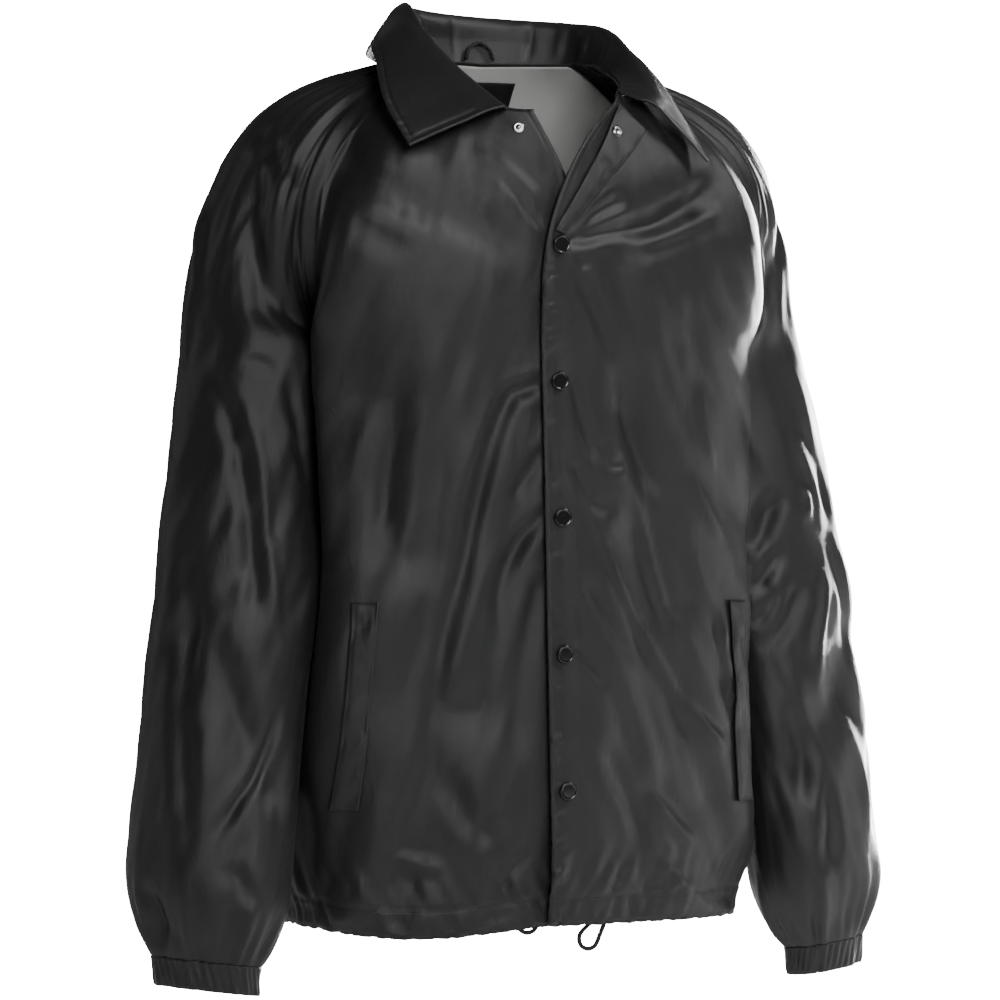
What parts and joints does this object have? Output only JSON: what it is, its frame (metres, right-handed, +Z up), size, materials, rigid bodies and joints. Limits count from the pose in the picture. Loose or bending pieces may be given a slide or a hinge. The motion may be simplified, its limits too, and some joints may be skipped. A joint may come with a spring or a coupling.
{
  "type": "coach's jacket",
  "caption": "Black satin nylon coach-style jacket in hollow worn form: snap front, raglan sleeves, pointed shirt collar, welt pockets, elastic cuffs and drawcord hem.",
  "frame": {"origin": "inside the neck, level with the back neck seam, where the wearer's neck and shoulders carry the jacket", "axes": "+Z up, the front faces -Y, +X towards the wearer's left sleeve"},
  "size_m": [0.7062, 0.2954, 0.8504],
  "materials": {
    "nylon_shell": "black satin nylon, soft sheen",
    "lining_knit": "pale matt lining cloth",
    "label_weave": "plain dark woven label",
    "snap_enamel": "gloss black enamel",
    "snap_nickel": "bright nickel",
    "drawcord_braid": "black braided cord"
  },
  "bodies": {
    "root": {"back": "nylon_shell", "collar": "nylon_shell", "cuff_left": "nylon_shell", "cuff_right": "nylon_shell", "drawcord_left": "drawcord_braid", "drawcord_right": "drawcord_braid", "facing_left": "nylon_shell", "front_left": "nylon_shell", "front_right": "nylon_shell", "hanger_loop": "drawcord_braid", "lining_back": "lining_knit", "lining_left": "lining_knit", "lining_right": "lining_knit", "neck_label": "label_weave", "pocket_welt_left": "nylon_shell", "pocket_welt_right": "nylon_shell", "sleeve_left": "nylon_shell", "sleeve_right": "nylon_shell", "snap_cap_2": "snap_enamel", "snap_cap_3": "snap_enamel", "snap_cap_4": "snap_enamel", "snap_cap_5": "snap_enamel", "snap_cap_6": "snap_enamel", "snap_socket_1": "snap_nickel", "snap_stud_1": "snap_nickel"}
  },
  "joints": []
}
